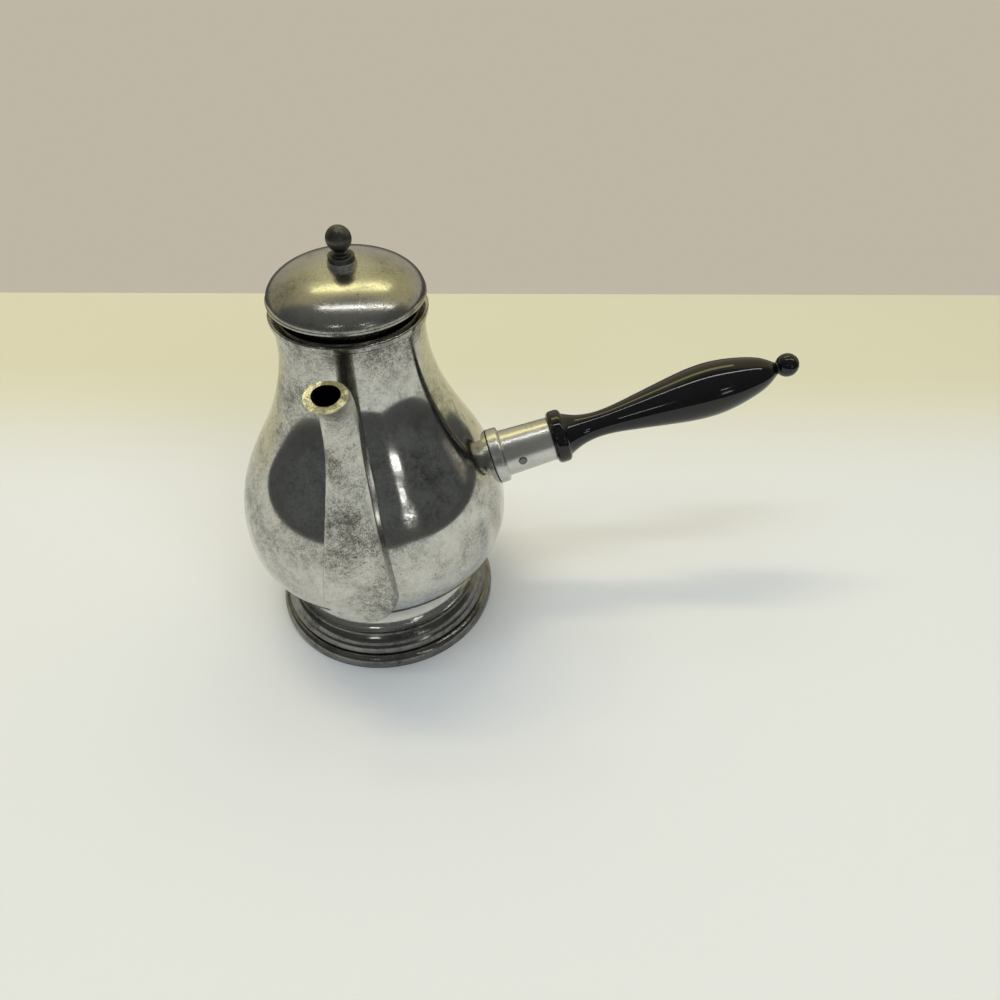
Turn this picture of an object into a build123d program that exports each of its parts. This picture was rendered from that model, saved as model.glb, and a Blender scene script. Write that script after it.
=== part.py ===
from build123d import *
import math
import os

# Side handle teapot in pewter, with a turned black handle and a hinged domed lid.
# Millimetres, +Z up, origin at the centre of the foot on the table.
# The spout points along -Y, the handle along +X but turned a little towards +Y, and the lid
# hinge is at +Y.

# Foot
foot_radius = 50.0
foot_lip_height = 2.2
foot_height = 35.0
foot_wall = 1.6
foot_rest_width = 2.6
waist_radius = 38.3
cove_height = 9.8
ridge_low = (47.1, 7.7)
ridge_mid = (45.6, 11.9)
ridge_top = (43.25, 16.2)
ridge_riser = 1.1
groove_depth = 0.6
groove_width = 0.8
ridge_bulge = 0.2

# Vessel
wall = 1.4
base_radius = 41.0
belly = (56.1, 55.0)
flank = (51.2, 80.0)
shoulder = (40.7, 100.0)
throat = (31.6, 120.0)
neck = (27.1, 143.5)
brim_radius = 27.5
brim_height = 150.7

# Rim band and the seat that carries the lid's bezel
rim_overhang = 1.0
rim_height = 2.6
rim_inner_radius = 25.05
rim_round = 1.0
rim_ring_height = 0.8
rim_ring_width = 0.6
seat_radius = 22.8
seat_thickness = 1.2
seat_drop = 4.6

# Strainer holes behind the spout
strainer_hole = 4.0
strainer_pitch = 6.4
strainer_height = 84.0

# Spout stations, from the root to the mouth: distance in front of the axis, height, forward
# lean of the section, width of the front face, depth, side draft, corner radius and wall
spout_root = (47.3, 57.5, 0.0, 26.6, 24.0, 18.0, 3.4, 1.6)
spout_swell = (48.6, 67.5, -5.5, 24.6, 21.0, 17.0, 3.5, 1.6)
spout_flank = (47.6, 84.5, -12.5, 20.6, 17.0, 15.0, 3.8, 1.6)
spout_climb = (43.4, 104.0, -13.5, 16.1, 14.4, 9.0, 4.4, 1.6)
spout_throat = (40.5, 121.0, -6.5, 13.2, 13.2, 3.0, 5.2, 1.6)
spout_bend = (41.2, 136.5, 17.0, 12.6, 12.4, 0.5, 5.4, 1.6)
spout_collar = (45.0, 144.6, 29.0, 12.4, 11.8, 0.5, 5.2, 1.6)
spout_mouth = (49.8, 149.6, 13.5, 14.4, 14.4, 0.2, 7.0, 2.5)
spout_crown = 0.7

# Lid
lid_radius = 28.2
lid_gap = 4.2
lid_edge = 0.9
lid_step = 0.3
dome_fullness = (2.55, 1.885)
lid_height = 11.4
lid_wall = 1.3
bezel_radius = 23.9
bezel_wall = 1.2
bezel_flange = 0.9

# Finial
ball_radius = 4.4
ball_height = 9.1
finial_neck_radius = 2.0
collar_radius = 5.1
collar_flange = 1.4
drum_radius = 4.6
drum_height = 2.1
tier_radius = 3.5
tier_height = 0.7
stud_radius = 1.5
stud_end = 1.0
nut_width = 5.5
nut_height = 2.4
chamfer_size = 0.3
washer_radius = 4.0
washer_thickness = 0.6

# Hinge
hinge_offset = 3.4
knuckle_radius = 1.9
hinge_pin_radius = 0.9
hinge_width = 13.0
hinge_lid_width = 4.6
hinge_play = 0.2
leaf_thickness = 1.1
leaf_drop = 9.0

# Handle socket and handle: a turn and a slope for its axis, the axis's start as a distance from
# the pot's axis and a height, and places that are distances along it from there
handle_turn = 10.0
handle_slope = 14.5
handle_foot = (52.85, 74.2)
socket_radius = 12.1
collar_length = 4.0
collar_round = 1.3
tube_radius_low = 10.05
tube_radius = 9.4
tube_end = 25.6
tube_flare = 0.7
tube_wall = 1.3
tenon_length = 17.0
bead_radius = 11.55
bead_length = 6.55
bead_round = 2.2
grip_start = (33.2, 8.7)
grip_hollow = (37.4, 7.0)
grip_slim = (46.0, 5.55)
grip_rise = (58.85, 6.7)
grip_swell = (77.5, 9.75)
grip_full = (96.5, 11.55)
grip_taper = (112.9, 8.9)
grip_shoulder = (120.9, 5.8)
grip_neck = (125.4, 2.6)
end_ball_radius = 5.0
end_ball_at = 130.3
pin_radius = 1.8
pin_at = 11.1
pin_tilt = 8.0
pin_proud = 0.3

# Clearances
seat_clearance = 0.3
fit_clearance = 0.05
contact = 0.02

os.makedirs("parts", exist_ok=True)


def write_piece(piece, label):
    """Labels a finished piece and writes it to its own file."""
    piece.part.label = label
    export_step(piece.part, f"parts/{label}.step")


def vessel_section(inset):
    """Half section of the pear-shaped vessel, moved inwards by inset."""
    base = foot_height + inset
    side = [(r - inset, z) for r, z in (belly, flank, shoulder, throat, neck, (brim_radius, brim_height))]
    with BuildSketch(Plane.XZ) as section:
        with BuildLine():
            Polyline((base_radius, base), (0, base), (0, brim_height), side[-1])
            Spline(*side, tangents=[(0, 1), (0.12, 1)])
            EllipticalCenterArc(
                (base_radius, belly[1]),
                belly[0] - base_radius - inset,
                belly[1] - foot_height - inset,
                start_angle=270,
                arc_size=90,
            )
        make_face()
    return section.sketch


# Solid form of the vessel, which the spout, the handle socket and the hinge are cut against
with BuildPart() as vessel_form:
    revolve(vessel_section(0), axis=Axis.Z)

# The vessel is cast in two pieces, soldered together at its widest line
belly_seam = Plane.XY.offset(belly[1])
with BuildPart() as vessel_bowl:
    add(vessel_form.part)
    revolve(vessel_section(wall), axis=Axis.Z, mode=Mode.SUBTRACT)
    split(bisect_by=belly_seam, keep=Keep.BOTTOM)
write_piece(vessel_bowl, "vessel_bowl")

# Upper piece, with the strainer holes in its front wall
strainer_plane = Plane(origin=(0, 0, strainer_height), x_dir=(1, 0, 0), z_dir=(0, -1, 0))
with BuildPart() as vessel_upper:
    add(vessel_form.part)
    revolve(vessel_section(wall), axis=Axis.Z, mode=Mode.SUBTRACT)
    split(bisect_by=belly_seam, keep=Keep.TOP)
    with BuildSketch(strainer_plane):
        Circle(strainer_hole / 2)
        with PolarLocations(strainer_pitch, 6):
            Circle(strainer_hole / 2)
    extrude(amount=belly[0] + wall, mode=Mode.SUBTRACT)
write_piece(vessel_upper, "vessel_upper")


def foot_section():
    """Half section of the foot: flat rest, rounded bead, groove, three ridges and a cove up to the waist."""
    cove_top = ridge_top[1] + cove_height
    groove_base = ridge_low[1] - ridge_riser - groove_width
    groove_radius = ridge_low[0] - groove_depth
    inner_waist = waist_radius - foot_wall
    with BuildSketch(Plane.XZ) as section:
        with BuildLine():
            Polyline((foot_radius - foot_rest_width, 0), (foot_radius, 0), (foot_radius, foot_lip_height))
            TangentArc(
                (foot_radius, foot_lip_height), (ridge_low[0], groove_base), tangent=(0, 1)
            )
            Polyline(
                (ridge_low[0], groove_base),
                (groove_radius, groove_base),
                (groove_radius, groove_base + groove_width),
                (ridge_low[0], groove_base + groove_width),
                ridge_low,
            )
            SagittaArc(ridge_low, (ridge_mid[0], ridge_mid[1] - ridge_riser), -ridge_bulge)
            Line((ridge_mid[0], ridge_mid[1] - ridge_riser), ridge_mid)
            SagittaArc(ridge_mid, (ridge_top[0], ridge_top[1] - ridge_riser), -ridge_bulge)
            Line((ridge_top[0], ridge_top[1] - ridge_riser), ridge_top)
            EllipticalCenterArc(
                (ridge_top[0], cove_top),
                ridge_top[0] - waist_radius,
                cove_height,
                start_angle=180,
                arc_size=90,
            )
            Polyline(
                (waist_radius, cove_top),
                (waist_radius, foot_height),
                (inner_waist, foot_height),
                (inner_waist, cove_top),
                (ridge_top[0] - 2 * foot_wall, ridge_top[1]),
                (ridge_low[0] - 1.5 * foot_wall, ridge_low[1] - ridge_riser),
                (foot_radius - foot_rest_width, 0),
            )
        make_face()
    return section.sketch


with BuildPart() as foot_ring:
    revolve(foot_section(), axis=Axis.Z)
write_piece(foot_ring, "foot_ring")

# Rim band: a rounded bead on the brim, a sleeve inside the neck and the seat at its lower end
rim_top = brim_height + rim_height
rim_radius = brim_radius + rim_overhang
seat_top = brim_height - seat_drop + seat_thickness
sleeve_radius = neck[0] - wall - fit_clearance
with BuildPart() as rim_band:
    with BuildSketch(Plane.XZ):
        with BuildLine():
            Polyline(
                (seat_radius, seat_top - seat_thickness),
                (sleeve_radius, seat_top - seat_thickness),
                (sleeve_radius, brim_height),
                (brim_radius + contact, brim_height),
                (brim_radius + contact, brim_height - rim_ring_height),
                (brim_radius + rim_ring_width, brim_height - rim_ring_height),
                (brim_radius + rim_ring_width, brim_height),
                (rim_radius, brim_height + rim_height / 4),
                (rim_radius, rim_top),
                (rim_inner_radius, rim_top),
                (rim_inner_radius, seat_top),
                (seat_radius, seat_top),
                close=True,
            )
        face = make_face()
        fillet(face.vertices().group_by(Axis.Y)[-1], rim_round)
    revolve(axis=Axis.Z)
write_piece(rim_band, "rim_band")


def spout_section(station, inset):
    """Section of the spout at a station: tapered sides, a crowned front and round corners."""
    reach, height, lean, face_width, depth, draft, corner, _ = station
    forward = Vector(0, -math.sin(math.radians(lean)), math.cos(math.radians(lean)))
    half_face = face_width / 2 - inset
    half_depth = depth / 2 - inset
    half_root = half_face + 2 * half_depth * math.tan(math.radians(draft))
    with BuildSketch(Plane(origin=(0, -reach, height), x_dir=(-1, 0, 0), z_dir=forward)) as section:
        with BuildLine():
            Polyline(
                (half_face, half_depth - spout_crown),
                (half_root, -half_depth),
                (-half_root, -half_depth),
                (-half_face, half_depth - spout_crown),
            )
            ThreePointArc(
                (-half_face, half_depth - spout_crown), (0, half_depth), (half_face, half_depth - spout_crown)
            )
        face = make_face()
        fillet(face.vertices(), corner - inset)
    return section.sketch


def spout_form(walled):
    """Solid of the spout, or of its channel: a loft up to the mouth over a round lower end."""
    lower = (spout_root, spout_swell, spout_flank, spout_climb)
    upper = (spout_throat, spout_bend, spout_collar, spout_mouth)
    sections = [spout_section(station, station[-1] * walled) for station in lower + upper]
    half_root = split(sections[0], bisect_by=Plane.YZ)
    with BuildPart() as form:
        for section in sections:
            add(section)
        loft()
    with BuildPart() as lower_end:
        add(half_root)
        revolve(axis=Axis((0, 0, spout_root[1]), (0, 1, 0)), revolution_arc=180)
    return form.part + lower_end.part


with BuildPart() as spout:
    add(spout_form(0))
    add(spout_form(1), mode=Mode.SUBTRACT)
    add(vessel_form.part, mode=Mode.SUBTRACT)
write_piece(spout, "spout")


# Lid shell: a flat lip and a full dome above it
lid_base = rim_top + lid_gap
dome_base = lid_base + lid_edge
dome_radius = lid_radius - lid_step
dome_height = lid_height - lid_edge


def dome_section(inset):
    """Half section of the dome, a rounded curve fuller than an ellipse, moved inwards by inset."""
    reach = dome_radius - inset
    rise = dome_height - inset
    outline = []
    for turn in range(0, 90, 15):
        across = math.cos(math.radians(turn)) ** (2 / dome_fullness[0])
        up = math.sin(math.radians(turn)) ** (2 / dome_fullness[1])
        outline.append((reach * across, dome_base + rise * up))
    outline.append((0, dome_base + rise))
    with BuildSketch(Plane.XZ) as section:
        with BuildLine():
            Spline(*outline, tangents=[(0, 1), (-1, 0)])
            Polyline(outline[-1], (0, dome_base), outline[0])
        make_face()
    return section.sketch


with BuildPart() as dome_form:
    revolve(dome_section(0), axis=Axis.Z)

with BuildPart() as lid_shell:
    add(dome_form.part)
    with BuildSketch(Plane.XZ):
        with Locations((0, lid_base)):
            Rectangle(lid_radius, lid_edge, align=(Align.MIN, Align.MIN))
    revolve(axis=Axis.Z)
    lip_edges = edges().filter_by(GeomType.CIRCLE).sort_by(SortBy.RADIUS)[-2:]
    fillet(lip_edges, lid_edge / 4)
    with BuildSketch(Plane.XZ):
        with Locations((0, lid_base)):
            Rectangle(dome_radius - lid_wall, lid_edge, align=(Align.MIN, Align.MIN))
    revolve(axis=Axis.Z, mode=Mode.SUBTRACT)
    revolve(dome_section(lid_wall), axis=Axis.Z, mode=Mode.SUBTRACT)
    with Locations((0, 0, dome_base)):
        Cylinder(
            stud_radius + fit_clearance,
            dome_height,
            align=(Align.CENTER, Align.CENTER, Align.MIN),
            mode=Mode.SUBTRACT,
        )
write_piece(lid_shell, "lid_shell")

# Bezel: a sleeve that drops into the neck, with a flange soldered inside the lid's lip
bezel_bottom = seat_top + seat_clearance
with BuildPart() as lid_bezel:
    with BuildSketch(Plane.XZ):
        with BuildLine():
            Polyline(
                (bezel_radius - bezel_wall, bezel_bottom),
                (bezel_radius, bezel_bottom),
                (bezel_radius, lid_base),
                (dome_radius - lid_wall - contact, lid_base),
                (dome_radius - lid_wall - contact, lid_base + bezel_flange),
                (bezel_radius - bezel_wall, lid_base + bezel_flange),
                close=True,
            )
        make_face()
    revolve(axis=Axis.Z)
write_piece(lid_bezel, "lid_bezel")

# Finial: a stepped collar on the dome, a ball on a neck whose stud passes through the lid
apex = dome_base + dome_height
tier_top = apex + collar_flange + drum_height + tier_height
with BuildPart() as finial_collar:
    with BuildSketch(Plane.XZ):
        with BuildLine():
            Polyline(
                (stud_radius + fit_clearance, apex - collar_flange),
                (collar_radius, apex - collar_flange),
                (collar_radius, apex + collar_flange / 2),
            )
            ThreePointArc(
                (collar_radius, apex + collar_flange / 2),
                (collar_radius - collar_flange / 6, apex + collar_flange * 5 / 6),
                (drum_radius, apex + collar_flange),
            )
            Polyline(
                (drum_radius, apex + collar_flange),
                (drum_radius, apex + collar_flange + drum_height),
                (tier_radius, apex + collar_flange + drum_height),
                (tier_radius, tier_top),
                (stud_radius + fit_clearance, tier_top),
                (stud_radius + fit_clearance, apex - collar_flange),
            )
        make_face()
    revolve(axis=Axis.Z)
    add(dome_form.part, mode=Mode.SUBTRACT)
write_piece(finial_collar, "finial_collar")

ball_centre = apex + ball_height
ball_low = ball_centre - math.sqrt(ball_radius**2 - finial_neck_radius**2)
washer_top = apex - lid_wall - fit_clearance
nut_top = washer_top - washer_thickness
stud_low = nut_top - nut_height - stud_end
with BuildPart() as finial_knob:
    with BuildSketch(Plane.XZ):
        with BuildLine():
            Polyline(
                (0, ball_centre + ball_radius),
                (0, stud_low),
                (stud_radius, stud_low),
                (stud_radius, tier_top),
                (finial_neck_radius, tier_top),
                (finial_neck_radius, ball_low),
            )
            ThreePointArc(
                (finial_neck_radius, ball_low), (ball_radius, ball_centre), (0, ball_centre + ball_radius)
            )
        make_face()
    revolve(axis=Axis.Z)
write_piece(finial_knob, "finial_knob")

with BuildPart() as finial_washer:
    with BuildSketch(Plane.XY.offset(washer_top)):
        Circle(washer_radius)
        Circle(stud_radius + fit_clearance, mode=Mode.SUBTRACT)
    extrude(amount=-washer_thickness)
write_piece(finial_washer, "finial_washer")

with BuildPart() as finial_nut:
    with BuildSketch(Plane.XY.offset(nut_top)):
        RegularPolygon(nut_width / 2, 6, major_radius=False)
        Circle(stud_radius + fit_clearance, mode=Mode.SUBTRACT)
    extrude(amount=-nut_height)
    chamfer(edges().filter_by(GeomType.LINE).group_by(Axis.Z)[0], chamfer_size)
write_piece(finial_nut, "finial_nut")

# Hinge behind the rim: body leaf with two knuckles, lid leaf with one, and the pin through them.
# The knuckles' top is level with the underside of the lid's lip.
hinge_reach = rim_radius + hinge_offset
hinge_height = lid_base - knuckle_radius
hinge_plane = Plane(origin=(0, hinge_reach, hinge_height), x_dir=(0, 1, 0), z_dir=(1, 0, 0))
lid_slot = hinge_lid_width + 2 * hinge_play
with BuildPart() as hinge_body_leaf:
    with BuildSketch(Plane.YZ):
        with BuildLine():
            Polyline(
                (neck[0] - wall, hinge_height - leaf_drop - knuckle_radius),
                (rim_radius + leaf_thickness / 2, hinge_height - leaf_drop - knuckle_radius),
                (rim_radius + leaf_thickness, hinge_height - leaf_drop),
                (rim_radius + leaf_thickness, brim_height),
                (hinge_reach + knuckle_radius, hinge_height - leaf_thickness),
                (hinge_reach + knuckle_radius, hinge_height),
                (hinge_reach, hinge_height),
                (hinge_reach - knuckle_radius, hinge_height - knuckle_radius),
                (rim_radius - rim_round, rim_top),
                (neck[0] - wall, rim_top),
                close=True,
            )
        make_face()
    extrude(amount=hinge_width / 2, both=True)
    with BuildSketch(hinge_plane):
        Circle(knuckle_radius)
    extrude(amount=hinge_width / 2, both=True)
    with BuildSketch(hinge_plane):
        Circle(knuckle_radius + hinge_play)
        with Locations((-knuckle_radius, 0)):
            Rectangle(2 * knuckle_radius, 2 * knuckle_radius, align=(Align.CENTER, Align.MIN))
    extrude(amount=lid_slot / 2, both=True, mode=Mode.SUBTRACT)
    with BuildSketch(hinge_plane):
        Circle(hinge_pin_radius + fit_clearance)
    extrude(amount=hinge_width / 2, both=True, mode=Mode.SUBTRACT)
    add(vessel_form.part, mode=Mode.SUBTRACT)
    with BuildSketch(Plane.XZ):
        with Locations((0, brim_height - rim_ring_height)):
            Rectangle(rim_radius, rim_height + rim_ring_height, align=(Align.MIN, Align.MIN))
    revolve(axis=Axis.Z, mode=Mode.SUBTRACT)
write_piece(hinge_body_leaf, "hinge_body_leaf")

with BuildPart() as hinge_lid_leaf:
    with BuildSketch(Plane.YZ):
        with BuildLine():
            Polyline(
                (dome_radius - lid_wall, lid_base),
                (dome_radius - lid_wall, lid_base - leaf_thickness),
                (hinge_reach, lid_base - leaf_thickness),
                (hinge_reach, lid_base),
                close=True,
            )
        make_face()
    extrude(amount=hinge_lid_width / 2, both=True)
    with BuildSketch(hinge_plane):
        Circle(knuckle_radius)
    extrude(amount=hinge_lid_width / 2, both=True)
    with BuildSketch(hinge_plane):
        Circle(hinge_pin_radius + fit_clearance)
    extrude(amount=hinge_lid_width / 2, both=True, mode=Mode.SUBTRACT)
write_piece(hinge_lid_leaf, "hinge_lid_leaf")

with BuildPart() as hinge_pin:
    with BuildSketch(hinge_plane):
        Circle(hinge_pin_radius)
    extrude(amount=hinge_width / 2, both=True)
write_piece(hinge_pin, "hinge_pin")

# Handle socket: a round collar on the body and a tapered tube that takes the tenon
turn = math.radians(handle_turn)
slope = math.radians(handle_slope)
handle_axis = Axis(
    (handle_foot[0] * math.cos(turn), handle_foot[0] * math.sin(turn), handle_foot[1]),
    (math.cos(slope) * math.cos(turn), math.cos(slope) * math.sin(turn), math.sin(slope)),
)
sideways = (math.sin(turn), -math.cos(turn), 0)
handle_plane = Plane(origin=handle_axis.position, x_dir=handle_axis.direction, z_dir=sideways)
tube_taper = (tube_radius_low - tube_radius) / (tube_end - collar_length)
bore_low = tube_radius_low - tube_wall
with BuildPart() as socket_base:
    with BuildSketch(handle_plane):
        with Locations((-socket_radius, 0)):
            collar = Rectangle(collar_length + socket_radius, socket_radius, align=(Align.MIN, Align.MIN))
        fillet(collar.vertices().group_by(Axis.X)[-1].sort_by(Axis.Y)[-1:], collar_round)
    revolve(axis=handle_axis)
    add(vessel_form.part, mode=Mode.SUBTRACT)
    with BuildSketch(handle_plane):
        Rectangle(2 * tenon_length, bore_low, align=(Align.CENTER, Align.MIN))
    revolve(axis=handle_axis, mode=Mode.SUBTRACT)
write_piece(socket_base, "socket_base")

pin_centre = handle_axis.position + handle_axis.direction * pin_at
pin_plane = Plane(origin=pin_centre, x_dir=handle_axis.direction, z_dir=sideways).rotated((-pin_tilt, 0, 0))
with BuildPart() as socket_tube:
    with BuildSketch(handle_plane):
        with BuildLine():
            tube_foot = collar_length + tube_flare
            Line((collar_length, bore_low), (collar_length, tube_radius_low + tube_flare))
            ThreePointArc(
                (collar_length, tube_radius_low + tube_flare),
                (collar_length + 0.3 * tube_flare, tube_radius_low + 0.3 * tube_flare),
                (tube_foot, tube_radius_low),
            )
            Polyline(
                (tube_foot, tube_radius_low),
                (tube_end, tube_radius),
                (tube_end, tube_radius - tube_wall),
                (collar_length, bore_low),
            )
        make_face()
    revolve(axis=handle_axis)
    with BuildSketch(pin_plane):
        Circle(pin_radius + contact)
    extrude(amount=2 * tube_radius, both=True, mode=Mode.SUBTRACT)
write_piece(socket_tube, "socket_tube")

# Turned handle: tenon, bead, slim waist, full swell, neck and end ball in one piece
tenon_start = tube_end - tenon_length
bore_end = tube_radius - tube_wall
bead_end = tube_end + bead_length
ball_foot = end_ball_at - math.sqrt(end_ball_radius**2 - grip_neck[1] ** 2)
with BuildPart() as handle_grip:
    with BuildSketch(handle_plane):
        with BuildLine():
            Polyline(
                (end_ball_at + end_ball_radius, 0),
                (tenon_start, 0),
                (tenon_start, bore_end + tube_taper * tenon_length - fit_clearance),
                (tube_end, bore_end - fit_clearance),
                (tube_end, bead_radius - bead_round),
            )
            ThreePointArc(
                (tube_end, bead_radius - bead_round),
                (tube_end + 0.3 * bead_round, bead_radius - 0.3 * bead_round),
                (tube_end + bead_round, bead_radius),
            )
            Line((tube_end + bead_round, bead_radius), (bead_end - bead_round, bead_radius))
            ThreePointArc(
                (bead_end - bead_round, bead_radius),
                (bead_end - 0.3 * bead_round, bead_radius - 0.3 * bead_round),
                (bead_end, bead_radius - bead_round),
            )
            Line((bead_end, bead_radius - bead_round), grip_start)
            hollow = (grip_start, grip_hollow, grip_slim, grip_rise)
            swell = (grip_swell, grip_full, grip_taper, grip_shoulder, grip_neck)
            Spline(*hollow, *swell)
            Line(grip_neck, (ball_foot, grip_neck[1]))
            ThreePointArc(
                (ball_foot, grip_neck[1]), (end_ball_at, end_ball_radius), (end_ball_at + end_ball_radius, 0)
            )
        make_face()
    revolve(axis=handle_axis)
    with BuildSketch(pin_plane):
        Circle(pin_radius + contact)
    extrude(amount=2 * tube_radius, both=True, mode=Mode.SUBTRACT)
write_piece(handle_grip, "handle_grip")

with BuildPart() as handle_pin:
    with BuildSketch(pin_plane):
        Circle(pin_radius)
    extrude(amount=tube_radius_low + pin_proud, both=True)
write_piece(handle_pin, "handle_pin")
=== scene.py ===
"""Looks of a pewter pot with a turned black side handle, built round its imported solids."""

import logging
import math
from dataclasses import dataclass, field
from enum import Enum

import bmesh
import bpy
import numpy as np
from mathutils import Matrix, Vector


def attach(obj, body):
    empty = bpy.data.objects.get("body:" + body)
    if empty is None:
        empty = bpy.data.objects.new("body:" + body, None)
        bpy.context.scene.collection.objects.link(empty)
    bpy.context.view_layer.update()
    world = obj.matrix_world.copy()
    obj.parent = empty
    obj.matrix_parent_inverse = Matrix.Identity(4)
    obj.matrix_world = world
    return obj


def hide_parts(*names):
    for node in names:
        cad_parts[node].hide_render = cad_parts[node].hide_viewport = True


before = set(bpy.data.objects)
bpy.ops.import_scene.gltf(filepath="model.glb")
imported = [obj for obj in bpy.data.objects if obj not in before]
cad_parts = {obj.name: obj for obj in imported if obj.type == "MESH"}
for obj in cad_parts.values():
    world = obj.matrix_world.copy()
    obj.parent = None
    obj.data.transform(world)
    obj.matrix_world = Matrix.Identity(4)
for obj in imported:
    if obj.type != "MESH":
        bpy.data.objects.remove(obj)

LOG = logging.getLogger("pot")
MM = 0.001
SAME_POINT = 1e-4  # Points nearer than this, in millimetres, are one
EASED_SHARE = 0.45  # Share of a run that one eased corner may take
ROUND = 256  # Divisions round a large turned piece
MARK_DEPTH = 0.00002  # Depth of the finest marks in metres
Point = tuple[float, float]
Colour = tuple[float, float, float]
Corner = tuple[float, float, float]
Piece = bpy.types.Object
Socket = bpy.types.NodeSocket


class Part(Enum):
    """Rigid bodies that pieces ride on."""

    POT = "pot"
    LID = "lid"


class Slot(Enum):
    """Finish slots of the record."""

    BODY = "pewter_body"
    FOOT = "pewter_foot"
    SPOUT = "pewter_spout"
    LID = "pewter_lid"
    FINIAL = "pewter_finial"
    HINGE = "pewter_hinge"
    SOCKET = "bright_socket"
    PIN = "dark_pin"
    WOOD = "black_wood"


# Outlines


def smooth_line(points: list[Point], start: Point | None, end: Point | None, steps: int) -> list[Point]:
    """Runs a cubic curve through points.

    Args:
        points: Points that the curve passes, in order.
        start: Direction at the first point, or None for a free end.
        end: Direction at the last point, or None for a free end.
        steps: Divisions between two neighbouring points.

    Returns:
        Points along the curve, both ends included.
    """
    knots = np.array(points, float)
    span = np.linalg.norm(np.diff(knots, axis=0), axis=1)
    count = len(knots)
    system = np.zeros((count, count))
    right = np.zeros((count, knots.shape[1]))
    for i in range(1, count - 1):
        system[i, i - 1:i + 2] = span[i], 2 * (span[i - 1] + span[i]), span[i - 1]
        before = (knots[i] - knots[i - 1]) / span[i - 1]
        after = (knots[i + 1] - knots[i]) / span[i]
        right[i] = 3 * (span[i] * before + span[i - 1] * after)
    for row, other, direction in ((0, 1, start), (count - 1, count - 2, end)):
        if direction is None:
            system[row, row], system[row, other] = 2, 1
            edge = min(row, other)
            right[row] = 3 * (knots[edge + 1] - knots[edge]) / span[edge]
        else:
            system[row, row] = 1
            right[row] = np.array(direction, float) / np.linalg.norm(direction)
    slopes = np.linalg.solve(system, right)
    line = []
    for i, h in enumerate(span):
        for t in np.arange(steps) / steps:
            line.append(
                (2 * t**3 - 3 * t**2 + 1) * knots[i]
                + (t**3 - 2 * t**2 + t) * h * slopes[i]
                + (3 * t**2 - 2 * t**3) * knots[i + 1]
                + (t**3 - t**2) * h * slopes[i + 1]
            )
    line.append(knots[-1])
    return [tuple(p) for p in line]


def arc(centre: Point, reach: Point, start: float, end: float, steps: int) -> list[Point]:
    """Points of an elliptical arc.

    Args:
        centre: Centre of the ellipse.
        reach: Its half sizes across and up.
        start: First angle in degrees.
        end: Last angle in degrees.
        steps: Divisions of the arc.

    Returns:
        Points of the arc, both ends included.
    """
    turns = np.radians(np.linspace(start, end, steps + 1))
    return [(centre[0] + reach[0] * math.cos(t), centre[1] + reach[1] * math.sin(t)) for t in turns]


def ball_line(height: float, radius: float, neck: float, steps: int) -> list[Point]:
    """Gives the outline of a ball on a neck.

    Args:
        height: Height of the ball's centre.
        radius: Radius of the ball.
        neck: Radius of the neck where the ball starts.
        steps: Divisions of the line.

    Returns:
        Points from the neck to the top.
    """
    low = math.degrees(math.asin(-math.sqrt(radius**2 - neck**2) / radius))
    return arc((0, height), (radius, radius), low, 90, steps)[:-1] + [(0, height + radius)]


@dataclass
class Outline:
    """Half section of a turned piece: runs of points from a start, with eased corners between runs."""

    start: Point
    closed: bool = True
    runs: list[list[Point]] = field(default_factory=list)
    easing: list[float] = field(default_factory=list)

    def run(self, *points: Point, ease: float = 0.0) -> None:
        """Adds a run from where the outline ends.

        Args:
            *points: Points that the run passes.
            ease: How far the corner before the run is cut back, in millimetres.
        """
        end = self.runs[-1][-1] if self.runs else self.start
        self.runs.append([end, *points])
        self.easing.append(ease)

    def path(self, *corners: Corner) -> None:
        """Adds straight runs.

        Args:
            *corners: Radius and height that each run goes to, and the easing of the corner before it.
        """
        for radius, height, ease in corners:
            self.run((radius, height), ease=ease)

    def points(self) -> list[Point]:
        """Eases the corners.

        Returns:
            The outline's points.
        """
        lines = [np.array(run, float) for run in self.runs]
        bends: dict[int, list[Point]] = {}
        for i in range(0 if self.closed else 1, len(lines)):
            before, after = lines[i - 1], lines[i]
            reach = min(self.easing[i], EASED_SHARE * _length(before), EASED_SHARE * _length(after))
            if reach <= 0:
                continue
            corner = after[0].copy()
            lines[i - 1] = _shorten(before[::-1], reach)[::-1]
            lines[i] = _shorten(after, reach)
            a, b = lines[i - 1][-1], lines[i][0]
            bends[i] = [
                tuple((1 - t) ** 2 * a + 2 * t * (1 - t) * corner + t**2 * b)
                for t in np.linspace(0.2, 0.8, 4)
            ]
        clean: list[Point] = []
        for i, line in enumerate(lines):
            for p in [*bends.get(i, []), *(tuple(p) for p in line)]:
                if not clean or math.dist(p, clean[-1]) > SAME_POINT:
                    clean.append(p)
        if self.closed and math.dist(clean[0], clean[-1]) < SAME_POINT:
            clean.pop()
        return clean


def _length(line: np.ndarray) -> float:
    """Returns the length of a line of points."""
    return float(np.linalg.norm(np.diff(line, axis=0), axis=1).sum())


def _shorten(line: np.ndarray, reach: float) -> np.ndarray:
    """Takes a length off the start of a line of points.

    Args:
        line: Points of the line.
        reach: Length to take off.

    Returns:
        The shorter line.
    """
    for i in range(len(line) - 1):
        step = float(np.linalg.norm(line[i + 1] - line[i]))
        if step > reach:
            start = line[i] + (line[i + 1] - line[i]) * (reach / step)
            return np.vstack([start, line[i + 1:]])
        reach -= step
    return line[-1:]


# Node trees


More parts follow.
